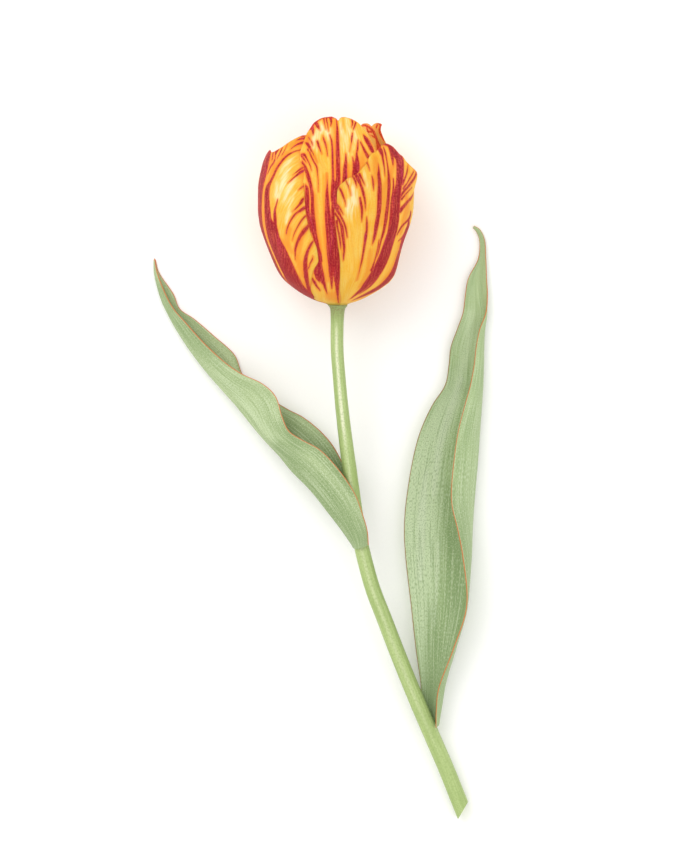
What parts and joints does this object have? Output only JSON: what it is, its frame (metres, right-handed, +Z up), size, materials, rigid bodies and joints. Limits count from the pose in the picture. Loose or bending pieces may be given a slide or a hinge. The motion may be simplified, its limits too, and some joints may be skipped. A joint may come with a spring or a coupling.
{
  "type": "cut tulip",
  "caption": "Cut tulip lying on its side: a closed cup bloom with flamed petals on a curved bare stem, with a shorter upper and a long lower leaf.",
  "frame": {"origin": "on the surface that the flower lies on, under the middle of its bounding box", "axes": "+Y from the cut end of the stem to the tip of the bloom, +Z up from the surface, +X to the right seen from above"},
  "size_m": [0.1344, 0.2805, 0.0585],
  "materials": {
    "stem": "satin",
    "leaf": "satin",
    "petal": "satin",
    "stamens": "matte",
    "pistil": "satin"
  },
  "bodies": {
    "root": {"stem": "stem", "leaf_upper": "leaf", "leaf_lower": "leaf", "petal_inner_front": "petal", "petal_inner_back_right": "petal", "petal_inner_back_left": "petal", "petal_outer_left": "petal", "petal_outer_right": "petal", "petal_outer_back": "petal", "stamens": "stamens", "pistil": "pistil"}
  },
  "joints": []
}
